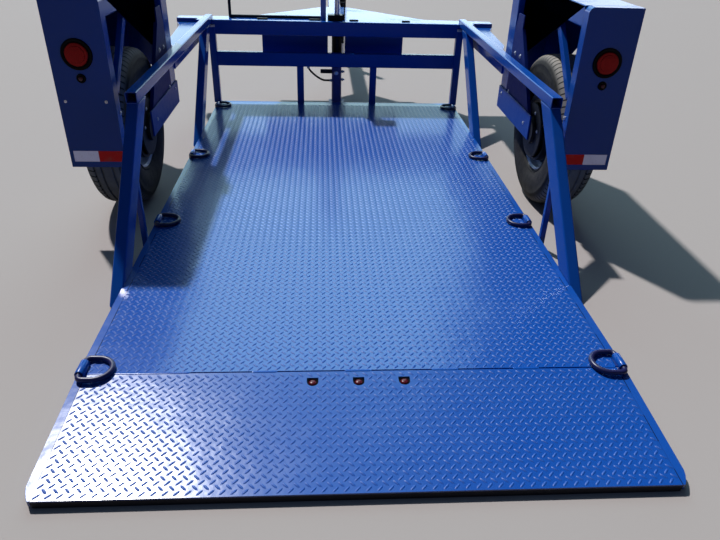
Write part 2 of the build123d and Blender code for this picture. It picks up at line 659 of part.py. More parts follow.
def lift_barrel():
    """Cylinder barrel on its foot at the header's front, with a square head, bored for the rod."""
    base = DECK_TOP - PLATE
    left, right, high = BARREL_HEAD
    foot_half, foot_thick, past = BARREL_FOOT
    floor = base + BARREL_FLOOR
    half = BARREL_R + HEAD_PROUD
    foot = block(-foot_half, foot_half, HEADER_FRONT, LIFT_AHEAD + BARREL_R + past, base - foot_thick, base)
    head = block(left, right, LIFT_AHEAD - half, LIFT_AHEAD + half, BARREL_TOP - high, BARREL_TOP)
    barrel = rod(0, LIFT_AHEAD, base, BARREL_R, BARREL_TOP - base, "z") + head
    barrel -= rod(0, LIFT_AHEAD, floor, BARREL_R - BARREL_WALL, BARREL_TOP - BARREL_LID - floor, "z")
    return foot + barrel - rod(0, LIFT_AHEAD, floor, ROD_R + ROD_RUN, BARREL_TOP - floor, "z")


def lift_rod():
    """Rod hanging from the mast's arm into the barrel, with its piston."""
    low = BARREL_TOP - BARREL_LID - 2 * PISTON
    piston = rod(0, LIFT_AHEAD, low, BARREL_R - BARREL_WALL - ROD_RUN, PISTON, "z")
    return piston + rod(0, LIFT_AHEAD, low, ROD_R, MAST_LOW - low, "z")


def lock_bar():
    """Lock bar lying on the plate, with its upright lever at the left end."""
    left, side, high = LOCK_BAR
    ahead = CROSS_FRONT - 2 * side
    bar = block(left, MAST_X[1], ahead, ahead + side, DECK_ON, DECK_ON + side)
    return bar + block(left, left + side, ahead, ahead + side, DECK_ON, DECK_ON + high)


def latch_handle():
    """Rectangular loop handle in front of the lift."""
    left, right, high = HANDLE
    ahead = CROSS_REAR + HANDLE_AHEAD
    plate = block(left, right, ahead, ahead + HANDLE_ROD, DECK_ON, DECK_ON + high)
    return plate - block(left + HANDLE_ROD, right - HANDLE_ROD, ahead, ahead + HANDLE_ROD,
                         DECK_ON + high / 3, DECK_ON + high - HANDLE_ROD)


def deck_stops():
    rear = HEADER_FRONT + CHASSIS_GAP
    return group([block(left, right, rear, rear + STOP_HIGH, DECK_ON, DECK_ON + STOP_HIGH)
                  for left, right in STOPS])


def hose():
    """Hose from a fitting under the header's middle tube round to the barrel's port."""
    low = MID_TOP - HEADER_TUBE_HIGH
    behind = at(HEADER_FRONT - TUBE / 2)
    drop = low - PORT_HIGH
    points = [(HOSE_START, behind, low), (HOSE_START, behind, low - 0.15 * drop),
              (HOSE_START + 0.4 * drop, at(HEADER_FRONT), low - 0.6 * drop),
              (HOSE_START + 0.9 * drop, at(HEADER_FRONT + HOSE_R), PORT_HIGH + 0.08 * drop),
              (-BARREL_R - 4 * HOSE_R, at(LIFT_AHEAD), PORT_HIGH), (-BARREL_R, at(LIFT_AHEAD), PORT_HIGH)]
    return flat_sided(points, HOSE_R, False)


# Coupler and jack

def coupler():
    """Pressed coupler with its ball socket open underneath."""
    x = BEAM / 2 - COUPLER_WALL
    points = [(LENGTH - share * COUPLER_REACH, CHASSIS_TOP - down) for share, down in COUPLER_EDGE]
    low = min(z for ahead, z in points)
    return side_profile(points, -x, x) - rod(0, LENGTH - SOCKET_BACK, low, SOCKET_R, SOCKET_DEEP, "z")


def jack_tube():
    x = BEAM / 2 + JACK_ASIDE
    wide = 2 * JACK_BORE
    plate = block(BEAM / 2, BEAM / 2 + JACK_PLATE, JACK_AHEAD - wide, JACK_AHEAD + wide,
                  CHASSIS_TOP - BEAM, CHASSIS_TOP)
    tube = rod(x, JACK_AHEAD, JACK_LOW, JACK_BORE + JACK_WALL, JACK_LONG, "z")
    return plate + tube - rod(x, JACK_AHEAD, JACK_LOW, JACK_BORE, JACK_LONG - JACK_CAP, "z")


def jack_leg():
    x = BEAM / 2 + JACK_ASIDE
    foot = rod(x, JACK_AHEAD, 0, JACK_FOOT_R, JACK_FOOT, "z")
    return foot + rod(x, JACK_AHEAD, JACK_FOOT, JACK_BORE - RUN, JACK_LEG, "z")


right_tyre = tyre()
PARTS = {
    "deck_plate": deck_plate(),
    "approach_plate": approach_plate(),
    "edge_bars": edge_bars(),
    "rear_lip": rear_lip(),
    "deck_side_beams": side_beams(),
    "deck_crossmembers": deck_crossmembers(),
    "id_lamps": group([id_lamp(step * ID_PITCH) for step in (-1, 0, 1)]),
    "header_top_tube": header_tube(HEADER_TOP, RAIL_IN),
    "header_mid_tube": header_tube(MID_TOP, HALF_DECK - EDGE_BAR),
    "header_posts": header_posts(),
    "rail_right": rail(),
    "rail_left": other_side(rail()),
    "front_braces": pair(slanted(BRACE_TOP)),
    "rear_posts": rear_posts(),
    "rear_struts": rear_struts(),
    "tie_rings": group([s for a in RING_AHEAD for s in (tie_ring(a), other_side(tie_ring(a)))]),
    "ring_clips": group([s for a in RING_AHEAD for s in (ring_clip(a), other_side(ring_clip(a)))]),
    "lift_barrel": lift_barrel(),
    "lift_hose": hose(),
    "fender_right": fender(),
    "fender_left": other_side(fender()),
    "tail_panel_right": tail_panel(),
    "tail_panel_left": left_tail_panel(),
    "front_columns": pair(front_column()),
    "lower_beams": pair(lower_beam()),
    "spring_frames": pair(spring_frame()),
    "box_stays": pair(stay()),
    "suspension_arm_right": suspension_arm(),
    "suspension_arm_left": other_side(suspension_arm()),
    "tail_lamps": pair(round_lamp(*TAIL_LAMP)),
    "marker_lamps": pair(round_lamp(*MARKER_LAMP)),
    "tyre_right": right_tyre,
    "tyre_left": other_side(right_tyre),
    "rim_right": rim(),
    "rim_left": other_side(rim()),
    "drum_right": drum(),
    "drum_left": other_side(drum()),
    "crossmember": crossmember(),
    "tongue_plate": tongue_plate(),
    "drawbars": drawbars(),
    "tongue_beam": tongue_beam(),
    "corner_arms": pair(corner_arm()),
    "store_boxes": group([store_box(outer) for outer in STORE_OUT]),
    "lift_mast": lift_mast(),
    "lift_rod": lift_rod(),
    "lock_bar": lock_bar(),
    "latch_handle": latch_handle(),
    "deck_stops": deck_stops(),
    "coupler": coupler(),
    "jack_tube": jack_tube(),
    "jack_leg": jack_leg(),
}

os.makedirs("parts", exist_ok=True)
for name, shape in PARTS.items():
    export_step(shape, f"parts/{name}.step")
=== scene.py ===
import bpy
import bmesh
import json
from math import cos, pi, radians, sin
from mathutils import Matrix, Vector

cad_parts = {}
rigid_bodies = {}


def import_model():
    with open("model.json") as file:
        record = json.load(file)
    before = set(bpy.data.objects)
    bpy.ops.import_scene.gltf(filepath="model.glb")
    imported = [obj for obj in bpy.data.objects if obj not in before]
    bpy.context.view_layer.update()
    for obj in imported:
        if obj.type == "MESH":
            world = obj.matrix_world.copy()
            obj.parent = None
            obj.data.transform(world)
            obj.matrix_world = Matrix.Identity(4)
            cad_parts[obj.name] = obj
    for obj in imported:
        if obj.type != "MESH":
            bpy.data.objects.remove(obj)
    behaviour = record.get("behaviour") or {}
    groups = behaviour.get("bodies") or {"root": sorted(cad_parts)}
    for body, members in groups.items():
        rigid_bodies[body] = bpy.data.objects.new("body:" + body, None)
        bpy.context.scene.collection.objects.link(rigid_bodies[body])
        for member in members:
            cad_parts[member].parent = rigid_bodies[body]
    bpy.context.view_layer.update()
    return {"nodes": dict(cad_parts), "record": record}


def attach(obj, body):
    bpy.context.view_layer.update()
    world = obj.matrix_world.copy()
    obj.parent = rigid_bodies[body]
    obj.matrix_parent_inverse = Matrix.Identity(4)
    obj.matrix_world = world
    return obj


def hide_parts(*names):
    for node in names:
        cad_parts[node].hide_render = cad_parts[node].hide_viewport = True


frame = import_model()

# Places of the trailer in metres: +Y towards the hitch, +X right, Z 0 is the ground
HALF_LENGTH = 2.943
DECK_Z = 0.060
REAR_Z = 0.028
SEAM_AHEAD = 0.480
HALF_PLATE = 0.897
RING_AHEAD = (0.493, 1.614, 2.541, 3.625)
PANEL_Y = 1.640 - HALF_LENGTH
LAMP_X = 1.154
WHEEL = Vector((1.135, 2.067 - HALF_LENGTH, 0.391))
HEADER_FRONT = 3.781 - HALF_LENGTH
LIFT_Y = 3.827 - HALF_LENGTH

# Each axis with a direction square to it, in which a turned piece's outline is laid
AXES = {"x": (Vector((1, 0, 0)), Vector((0, 0, 1))), "y": (Vector((0, 1, 0)), Vector((1, 0, 0))),
        "z": (Vector((0, 0, 1)), Vector((1, 0, 0)))}


def at(ahead):
    """Y of a place given as its distance ahead of the deck's rear edge."""
    return ahead - HALF_LENGTH


# Working in edit mode

def edit_mode():
    bpy.ops.object.mode_set(mode="EDIT")
    bpy.ops.mesh.select_mode(type="VERT")


def object_mode():
    bpy.ops.object.mode_set(mode="OBJECT")


def nothing_selected():
    if bpy.context.object and bpy.context.object.mode != "OBJECT":
        object_mode()
    bpy.ops.object.select_all(action="DESELECT")


def only(piece):
    nothing_selected()
    piece.select_set(True)
    bpy.context.view_layer.objects.active = piece


def all_points():
    bpy.ops.mesh.select_all(action="SELECT")


def pulled(offset):
    bpy.ops.mesh.extrude_region_move(TRANSFORM_OT_translate={"value": offset})


def grown(*factors):
    bpy.ops.transform.resize(value=factors)


def pick(kind, wanted):
    """In edit mode, selects the parts of a kind (VERT, EDGE or FACE) for which wanted is true."""
    bpy.ops.mesh.select_mode(type=kind)
    mesh = bmesh.from_edit_mesh(bpy.context.object.data)
    for part in {"VERT": mesh.verts, "EDGE": mesh.edges, "FACE": mesh.faces}[kind]:
        part.select_set(wanted(part))
    mesh.select_flush_mode()
    bmesh.update_edit_mesh(bpy.context.object.data)


def settled(piece, smooth=35):
    """Puts the piece's place into its mesh and smooths its shading."""
    only(piece)
    bpy.ops.object.transform_apply(location=True, rotation=True, scale=True)
    bpy.ops.object.shade_smooth_by_angle(angle=radians(smooth))
    return piece


def rounded(piece, width, segments=2, angle=30):
    only(piece)
    bevel = piece.modifiers.new("edges", "BEVEL")
    bevel.width = width
    bevel.segments = segments
    bevel.limit_method = "ANGLE"
    bevel.angle_limit = radians(angle)
    bpy.ops.object.modifier_apply(modifier=bevel.name)
    return piece


def block(name, low, high, width):
    """Block between two corners, its edges rounded to width."""
    low, high = Vector(low), Vector(high)
    nothing_selected()
    bpy.ops.mesh.primitive_cube_add(size=1.0, location=(low + high) / 2, scale=high - low)
    piece = bpy.context.object
    piece.name = name
    settled(piece)
    return settled(rounded(piece, width))


def point_line(name, points):
    """Leaves a line of edges through the points, in edit mode."""
    nothing_selected()
    bpy.ops.mesh.primitive_plane_add(size=0.001, location=points[0])
    bpy.context.object.name = name
    edit_mode()
    bpy.ops.mesh.merge(type="CENTER")
    for near, far in zip(points, points[1:]):
        pulled(Vector(far) - Vector(near))
    return bpy.context.object


def closed_mesh():
    """In edit mode, joins points that lie together and turns all faces outwards."""
    all_points()
    bpy.ops.mesh.remove_doubles(threshold=0.00002)
    bpy.ops.mesh.normals_make_consistent(inside=False)


def spun(name, outline, centre, axis, steps=48, smooth=35):
    """Turned piece: an outline of (radius, along) pairs round an axis through the centre."""
    line, out = AXES[axis]
    centre = Vector(centre)
    piece = point_line(name, [centre + out * r + line * a for r, a in outline])
    all_points()
    bpy.ops.mesh.spin(steps=steps, angle=2 * pi, center=centre, axis=line)
    closed_mesh()
    object_mode()
    return settled(piece, smooth)


def mirrored(piece, name):
    """A copy with its own mesh, turned over to the trailer's other side."""
    only(piece)
    bpy.ops.object.duplicate(linked=False)
    made = bpy.context.object
    made.name = name
    made.scale.x = -1
    bpy.ops.object.transform_apply(location=True, rotation=True, scale=True)
    edit_mode()
    all_points()
    bpy.ops.mesh.normals_make_consistent(inside=False)
    object_mode()
    return made


def joined(pieces, name):
    nothing_selected()
    for piece in pieces:
        piece.select_set(True)
    bpy.context.view_layer.objects.active = pieces[0]
    bpy.ops.object.join()
    made = bpy.context.object
    made.name = name
    return made


def repeated(piece, offset, count):
    only(piece)
    row = piece.modifiers.new("row", "ARRAY")
    row.count = count
    row.use_relative_offset = False
    row.use_constant_offset = True
    row.constant_offset_displace = offset
    bpy.ops.object.modifier_apply(modifier=row.name)
    return piece


def both_sides(piece, name):
    """The piece and its like on the other side, as one."""
    return joined([piece, mirrored(piece, name + "_left")], name)


def dressed(piece, finish, body, slot, *nodes):
    """Gives a piece its finish and body, and hides the nodes that it stands for. The slot is not used."""
    piece.data.materials.clear()
    piece.data.materials.append(finish)
    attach(piece, body)
    if nodes:
        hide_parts(*nodes)
    return piece


# Finishes

TREAD_BLOCKS = 72
BLOCK_PITCH = 2 * pi / TREAD_BLOCKS
BLOCK_TURN = BLOCK_PITCH * 0.8
GROOVE_TURN = BLOCK_PITCH * 0.2


class Value:
    """A number's socket in a finish, so that its maths can be written out."""

    def __init__(self, finish, socket):
        self.finish = finish
        self.socket = socket

    def maths(self, operation, *others):
        """The outcome of a maths node on this number and the others."""
        sockets = {0: self.socket}
        for place, other in enumerate(others, 1):
            sockets[place] = other
        return self.finish.number("ShaderNodeMath", {"operation": operation}, sockets)

    def __add__(self, other):
        return self.maths("ADD", other)

    def __sub__(self, other):
        return self.maths("SUBTRACT", other)

    def __rsub__(self, other):
        return self.finish.number("ShaderNodeMath", {"operation": "SUBTRACT"}, {0: other, 1: self})

    def __mul__(self, other):
        return self.maths("MULTIPLY", other)

    def size(self):
        return self.maths("ABSOLUTE")

    def wrapped(self, step):
        return self.maths("WRAP", step, 0.0)

    def larger(self, other):
        return self.maths("MAXIMUM", other)

    def smaller(self, other):
        return self.maths("MINIMUM", other)

    def root(self):
        return self.maths("SQRT")

    def angle_from(self, other):
        """Angle at the origin between the other's axis and the point (other, self)."""
        return self.maths("ARCTAN2", other)


class Nodes:
    """The nodes of a material or of the room's light."""

    def __init__(self, tree):
        self.tree = tree

    def node(self, kind, settings=None, sockets=None):
        made = self.tree.nodes.new(kind)
        for name, setting in (settings or {}).items():
            setattr(made, name, setting)
        self.plug(made, sockets or {})
        return made

    def plug(self, made, sockets):
        for place, content in sockets.items():
            if isinstance(content, Value):
                content = content.socket
            if isinstance(content, bpy.types.NodeSocket):
                self.tree.links.new(content, made.inputs[place])
            else:
                made.inputs[place].default_value = content

    def number(self, kind, settings, sockets):
        return Value(self, self.node(kind, settings, sockets).outputs[0])

    def along(self, vector):
        parts = self.node("ShaderNodeSeparateXYZ", None, {0: vector}).outputs
        return [Value(self, part) for part in parts]

    def band(self, value, low, high):
        """0 below low, 1 above high."""
        return self.number("ShaderNodeMapRange", {"interpolation_type": "SMOOTHSTEP"},
                           {0: value, 1: low, 2: high, 3: 0.0, 4: 1.0})

    def blend(self, factor, first, second):
        made = self.node("ShaderNodeMix", {"data_type": "RGBA"}, {0: factor, 6: first, 7: second})
        return made.outputs[2]


class Finish(Nodes):
    """One material."""

    def __init__(self, name):
        self.material = bpy.data.materials.new(name)
        self.material.use_nodes = True
        super().__init__(self.material.node_tree)
        self.surface = self.tree.nodes["Principled BSDF"]

    def place(self):
        return self.node("ShaderNodeTexCoord").outputs["Object"]

    def noise(self, vector, scale, detail, roughness=0.5):
        return self.number("ShaderNodeTexNoise", None,
                           {"Vector": vector, "Scale": scale, "Detail": detail, "Roughness": roughness})

    def relief(self, height, distance, strength, onto=None):
        sockets = {"Height": height, "Distance": distance, "Strength": strength}
        if onto:
            sockets["Normal"] = onto
        return self.node("ShaderNodeBump", None, sockets).outputs[0]

    def set(self, **sockets):
        self.plug(self.surface, {name.replace("_", " "): content for name, content in sockets.items()})
        return self.material


def colour(red, green, blue):
    """A colour from 0 to 255 as it looks, turned to linear light."""
    def linear(part):
        part = part / 255
        return part / 12.92 if part <= 0.04045 else ((part + 0.055) / 1.055) ** 2.4
    return (linear(red), linear(green), linear(blue), 1.0)


BLUE = (18, 82, 174)
PALE_BLUE = (92, 134, 192)


def frame_paint(name, shine):
    """Gloss blue of the tubes and panels, with dust and a slight orange-peel ripple."""
    finish = Finish(name)
    where = finish.place()
    dust = finish.band(finish.noise(where, 3.0, 6.0, 0.65), 0.5, 0.85)
    speck = finish.band(finish.noise(where, 320.0, 2.0), 0.66, 0.8)
    tone = finish.blend(dust * 0.10 + speck * 0.10, colour(*BLUE), colour(*PALE_BLUE))
    ripple = finish.noise(where, 140.0, 2.0)
    return finish.set(Base_Color=tone, Roughness=dust * 0.14 + 0.2, Specular_IOR_Level=shine,
                      Normal=finish.relief(ripple, 0.0004, 0.25))


JOINT_WIDE = (0.0006, 0.0022)
JOINT_START = 0.155
JOINT_PITCH = 0.205
JOINT_OPEN = (0.103, 0.107)


def deck_paint(name, rough, shine=0.7):
    """Gloss blue of the tread plates: walked on, with the open stretches of the side strips' joint."""
    finish = Finish(name)
    where = finish.place()
    x, y, _ = finish.along(where)
    scuff = finish.band(finish.noise(where, 5.0, 6.0, 0.7), 0.45, 0.8)
    grit = finish.band(finish.noise(where, 420.0, 2.0), 0.64, 0.78)
    edge = 1 - finish.band((x.size() - HALF_PLATE).size(), *JOINT_WIDE)
    open_part = 1 - finish.band((y + (HALF_LENGTH - JOINT_START)).wrapped(JOINT_PITCH), *JOINT_OPEN)
    joint = edge * (open_part * 0.75 + 0.25)
    tone = finish.blend(scuff * 0.08 + grit * 0.1, colour(*BLUE), colour(*PALE_BLUE))
    tone = finish.blend(joint * 0.9, tone, colour(6, 12, 34))
    waves = finish.noise(where, 7.0, 3.0, 0.6)
    peel = finish.noise(where, 160.0, 2.0)
    normal = finish.relief(waves, 0.006, 0.3, finish.relief(peel, 0.0003, 0.2))
    return finish.set(Base_Color=tone, Roughness=scuff * 0.04 + rough, Specular_IOR_Level=shine,
                      Normal=normal)


def worn_paint(name, base, rough=0.45, worn=(70, 70, 74), shine=0.3):
    """Satin paint or plain rubber, with patches of wear in its tone and its gloss."""
    finish = Finish(name)
    where = finish.place()
    wear = finish.noise(where, 40.0, 5.0, 0.6)
    patch = finish.band(finish.noise(where, 9.0, 4.0, 0.6), 0.5, 0.75)
    tone = finish.blend(wear * 0.18 + patch * 0.1, colour(*base), colour(*worn))
    return finish.set(Base_Color=tone, Roughness=wear * 0.25 + rough, Specular_IOR_Level=shine,
                      Normal=finish.relief(wear, 0.0004, 0.3))


def rubber():
    """Tyre rubber: pale dust on the tread, darker in its notches, and fine rings in the sidewall."""
    finish = Finish("tyre_rubber")
    where = finish.place()
    x, y, z = finish.along(where)
    y = y - WHEEL.y
    z = z - WHEEL.z
    radius = (y * y + z * z).root()
    tread = finish.band(radius, 0.350, 0.380)
    across = (x.size() - WHEEL.x).size()
    notch = finish.band(y.angle_from(z).wrapped(BLOCK_PITCH), BLOCK_PITCH * 0.72, BLOCK_TURN)
    notch = notch * finish.band(across, 0.058, 0.066) * finish.band(radius, 0.360, 0.366)
    rings = finish.band((radius * 260).wrapped(1.0), 0.3, 0.7)
    dust = finish.noise(where, 22.0, 6.0, 0.7)
    grains = finish.noise(where, 300.0, 2.0)
    cover = (finish.band(dust, 0.3, 0.7) * 0.06 + tread * (dust * 0.5 + 0.55) + 0.02).smaller(1.0)
    cover = cover * (1 - notch * 0.95)
    height = grains * 0.5 + rings * (1 - tread) * 0.4
    return finish.set(Base_Color=finish.blend(cover, colour(12, 13, 16), colour(176, 170, 162)),
                      Roughness=cover * 0.2 + 0.7, Specular_IOR_Level=0.25,
                      Normal=finish.relief(height, 0.0006, 0.5))


def metal(name, base, rough=0.3, spotted=0.3, metallic=0.85):
    """Plated or silver-painted metal, with dull patches."""
    finish = Finish(name)
    where = finish.place()
    wear = finish.noise(where, 30.0, 5.0, 0.6)
    tone = finish.blend(wear * spotted, colour(*base), colour(96, 94, 92))
    return finish.set(Base_Color=tone, Metallic=metallic, Roughness=wear * 0.25 + rough,
                      Normal=finish.relief(wear, 0.0003, 0.2))


def lift_painted_light():
    """Pale grey-blue of the lift's barrel, partly dust and partly a painted reflection of the lit ground,
    with painted shade turning its upper part black.
    """
    finish = Finish("lift_blue_painted_light")
    where = finish.place()
    z = finish.along(where)[2]
    blotches = finish.noise(where, 14.0, 4.0, 0.6)
    # Painted shade: the barrel's upper part is painted black.
    painted_shade = finish.band(z + blotches * 0.05, 0.425, 0.45)
    tone = finish.blend(painted_shade, colour(92, 98, 160), colour(9, 9, 13))
    return finish.set(Base_Color=tone, Roughness=blotches * 0.2 + 0.22, Specular_IOR_Level=0.12,
                      Normal=finish.relief(blotches, 0.0004, 0.2))


PRISMS = 210  # in a metre
TAPE_CELLS = 150  # in a metre


def red_lens(name, dark, light, metallic, shine=0.2):
    """Lamp glass with its small square prisms."""
    finish = Finish(name)
    where = finish.place()
    x, _, z = finish.along(where)
    ribs = finish.band((x * PRISMS).wrapped(1.0), 0.2, 0.8) * finish.band((z * PRISMS).wrapped(1.0), 0.2, 0.8)
    cloud = finish.noise(where, 60.0, 3.0)
    tone = finish.blend(ribs * 0.5 + cloud * 0.3, colour(*dark), colour(*light))
    return finish.set(Base_Color=tone, Metallic=metallic, Roughness=0.26, Specular_IOR_Level=shine,
                      Normal=finish.relief(ribs, 0.0012, 0.5))


def tape(name, base, cell):
    """Reflective tape with its fine diamond cells."""
    finish = Finish(name)
    where = finish.place()
    x, _, z = finish.along(where)
    up = ((x + z) * TAPE_CELLS).wrapped(1.0)
    down = ((x - z) * TAPE_CELLS).wrapped(1.0)
    lines = finish.band(up, 0.0, 0.16) * finish.band(down, 0.0, 0.16)
    soiled = finish.band(finish.noise(where, 35.0, 5.0, 0.7), 0.5, 0.8)
    tone = finish.blend(1 - lines, colour(*base), colour(*cell))
    tone = finish.blend(soiled * 0.25, tone, colour(120, 112, 104))
    return finish.set(Base_Color=tone, Metallic=0.75, Roughness=soiled * 0.2 + 0.35,
                      Normal=finish.relief(lines, 0.0003, 0.5))


PAINT = frame_paint("gloss_blue", 0.22)
PLATE_PAINT = frame_paint("plate_blue", 0.55)
# Painted shade: the bracket plates' near-black navy stands in for the shade that they lie in.
BRACKET_PAINTED_SHADE = worn_paint("bracket_painted_shade", (4, 34, 112), 0.4, (12, 50, 132), 0.08)
# Painted shade: the lower beams' blue is darker than the frame's, for the rail's shadow on them.
BEAM_PAINTED_SHADE = worn_paint("beam_painted_shade", (17, 68, 156), 0.3, (44, 90, 170), 0.15)
# Lift barrel: pale blue that is partly dust and partly painted reflection, with black painted shade on top.
LIFT_PAINTED_LIGHT = lift_painted_light()
# Painted reflection: the mast's blue is lighter than the frame's, for the lit ground that it reflects.
MAST_PAINTED_REFLECTION = worn_paint("mast_painted_reflection", (42, 100, 190), 0.12, (84, 128, 198), 0.8)
DECK_PAINT = deck_paint("deck_blue", 0.185)
APPROACH_PAINT = deck_paint("approach_blue", 0.22)
TREAD_PAINT = deck_paint("tread_blue", 0.46, 0.5)
BLACK = worn_paint("satin_black", (14, 14, 17))
LIP_BLACK = worn_paint("lip_black", (13, 14, 24), 0.5, (60, 62, 74))
RING_PAINT = worn_paint("ring_navy", (24, 24, 74), 0.22, (70, 72, 130), 0.5)
GROMMET = worn_paint("grommet_rubber", (8, 8, 10), 0.5, (22, 22, 24), 0.1)
HOSE_RUBBER = worn_paint("hose_black", (16, 16, 18), 0.4)
RUBBER = rubber()
RIM = metal("rim_silver", (222, 228, 240), 0.3, 0.12, 0.1)
ZINC = metal("zinc_plate", (214, 214, 218), 0.26, 0.15)
CHROME = metal("rod_chrome", (225, 226, 230), 0.1, 0.1)
LENS = red_lens("lamp_red", (112, 4, 8), (164, 10, 12), 0.5)
DARK_LENS = red_lens("lamp_dark_red", (78, 8, 24), (128, 18, 40), 0.0, 0.35)
RED_TAPE = tape("tape_red", (150, 8, 14), (108, 5, 10))
WHITE_TAPE = tape("tape_white", (184, 188, 222), (160, 165, 200))

FINISH_OF_SLOT = {"blue_paint": PAINT, "black_paint": BLACK, "tyre_rubber": RUBBER, "rim_paint": RIM,
                  "red_lens": LENS, "hard_chrome": CHROME, "zinc": ZINC, "hose_rubber": HOSE_RUBBER}
FINISH_OF_NODE = {"deck_plate": DECK_PAINT, "approach_plate": APPROACH_PAINT, "edge_bars": APPROACH_PAINT,
                  "rear_lip": LIP_BLACK, "tongue_plate": PLATE_PAINT, "spring_frames": BRACKET_PAINTED_SHADE,
                  "lower_beams": BEAM_PAINTED_SHADE, "lift_barrel": LIFT_PAINTED_LIGHT, "lift_mast": MAST_PAINTED_REFLECTION}

SLOT_OF = {part["node"]: part["material_slot"] for part in frame["record"]["subparts"]}
BODY_OF = {node: body for body, nodes in frame["record"]["behaviour"]["bodies"].items() for node in nodes}
for node, slot in SLOT_OF.items():
    materials = frame["nodes"][node].data.materials
    materials.clear()
    materials.append(FINISH_OF_NODE.get(node, FINISH_OF_SLOT[slot]))


# Camera, fitted to the photo

EYE = (-0.120, -4.091, 1.416)
EYE_TURN = (30.52, 4.07, 1.84)  # degrees down, to the right and rolled
FOCAL_PIXELS = 620.2
PHOTO_WIDE = 720.0


def camera():
    pitch, yaw, roll = (radians(turn) for turn in EYE_TURN)
    ahead = Vector((sin(yaw) * cos(pitch), cos(yaw) * cos(pitch), -sin(pitch)))
    level = Vector((cos(yaw), -sin(yaw), 0))
    up = level.cross(ahead)
    right = cos(roll) * level + sin(roll) * up
    top = -sin(roll) * level + cos(roll) * up
    lens = bpy.data.cameras.new("photo_view")
    lens.sensor_width = 36.0
    lens.lens = FOCAL_PIXELS * lens.sensor_width / PHOTO_WIDE
    eye = bpy.data.objects.new("photo_view", lens)
    bpy.context.collection.objects.link(eye)
    turn = Matrix((right, top, -ahead)).transposed()
    eye.matrix_world = Matrix.Translation(EYE) @ turn.to_4x4()
    bpy.context.scene.camera = eye


# Tubes and plates with their real rounded edges

LONG_EDGE = 0.12


def soft_node(node, tube_edge, plate_edge):
    """A copy of the node whose long outer edges are rounded to tube_edge and the rest to plate_edge."""
    source = frame["nodes"][node]
    piece = bpy.data.objects.new(node + "_rounded", source.data.copy())
    bpy.context.collection.objects.link(piece)
    only(piece)
    edit_mode()
    all_points()
    bpy.ops.mesh.remove_doubles(threshold=0.00001)
    bpy.ops.mesh.dissolve_limited(angle_limit=radians(0.5))
    if tube_edge:
        pick("EDGE", lambda edge: edge.is_manifold and edge.calc_length() > LONG_EDGE
             and edge.calc_face_angle_signed() > radians(40))
        bpy.ops.mesh.bevel(offset=tube_edge, segments=3, affect="EDGES")
    object_mode()
    if plate_edge:
        rounded(piece, plate_edge, 1, 40)
    settled(piece)
    even = piece.modifiers.new("even", "WEIGHTED_NORMAL")
    even.keep_sharp = True
    bpy.ops.object.modifier_apply(modifier=even.name)
    return dressed(piece, FINISH_OF_NODE.get(node, FINISH_OF_SLOT[SLOT_OF[node]]), BODY_OF[node],
                   SLOT_OF[node], node)


# For each node, the rounding of its tubes' long edges and of its plates' edges
SOFT_EDGES = {
    "rail_right": (0.006, 0.0008), "rail_left": (0.006, 0.0008), "header_top_tube": (0.007, 0.0),
    "header_mid_tube": (0.007, 0.0), "header_posts": (0.006, 0.0008), "rear_posts": (0.007, 0.001),
    "front_braces": (0.007, 0.001), "rear_struts": (0.003, 0.001), "front_columns": (0.006, 0.0),
    "crossmember": (0.007, 0.001), "tongue_beam": (0.007, 0.0008), "drawbars": (0.004, 0.001),
    "lift_mast": (0.005, 0.001), "fender_right": (0.004, 0.0), "fender_left": (0.004, 0.0),
    "tail_panel_right": (0.0, 0.0013), "tail_panel_left": (0.0, 0.0013), "lower_beams": (0.0, 0.0015),
    "spring_frames": (0.0, 0.0015), "box_stays": (0.003, 0.001), "corner_arms": (0.004, 0.001),
    "tongue_plate": (0.0, 0.0015), "store_boxes": (0.004, 0.001), "lock_bar": (0.002, 0.001),
    "latch_handle": (0.0, 0.0015), "deck_stops": (0.0, 0.002), "edge_bars": (0.0, 0.0012),
    "coupler": (0.01, 0.002), "rear_lip": (0.002, 0.001),
}


# Deck

LUG_LONG = 0.028
LUG_WIDE = 0.0100
LUG_HIGH = 0.0019
LUG_SUNK = 0.0004
LUG_PITCH = 0.0308
ROW_PITCH = 0.0166
LUG_COLUMNS = 58
LUG_RIDGE = (0.28, 0.7, 1)
FIRST_ROW = SEAM_AHEAD + 0.016
FLAT_ROWS = 96
SLOPE_FIRST_ROW = 0.014
SLOPE_ROWS = 28
ID_X = (-0.1524, 0.0, 0.1524)
CLEAR_X, CLEAR_Y = 0.021, 0.017  # half the size of the place round a lamp that has no lugs
CLEAR_BACK = 0.048


def lug(turn, where):
    """One raised bar of the tread plate: a slim pointed hexagon with a narrow ridge."""
    nothing_selected()
    bpy.ops.mesh.primitive_cylinder_add(vertices=6, radius=0.5, depth=LUG_HIGH + LUG_SUNK,
                                        location=(where[0], where[1], (LUG_HIGH - LUG_SUNK) / 2))
    piece = bpy.context.object
    edit_mode()
    pick("FACE", lambda face: face.normal.z > 0.9)
    grown(*LUG_RIDGE)
    object_mode()
    piece.scale = (LUG_WIDE, LUG_LONG, 1)
    piece.rotation_euler.z = turn - pi / 2
    return settled(piece, 80)


def tread(name, rows, first_row):
    """Rows of lugs, leaning right and left by turns, on a flat plate at Z 0."""
    start = -LUG_PITCH * (LUG_COLUMNS - 1) / 2 - LUG_PITCH / 4
    right = lug(radians(45), (start, first_row))
    left = lug(radians(-45), (start + LUG_PITCH / 2, first_row + ROW_PITCH))
    field = joined([right, left], name)
    repeated(field, (LUG_PITCH, 0, 0), LUG_COLUMNS)
    return repeated(field, (0, 2 * ROW_PITCH, 0), rows // 2)


def near_lamp(point):
    """Whether a point of the approach plate's lugs lies where a marker lamp is."""
    lamp = min(ID_X, key=lambda x: abs(x - point.co.x))
    return abs(point.co.x - lamp) < CLEAR_X and abs(point.co.y - SEAM_AHEAD + CLEAR_BACK) < CLEAR_Y


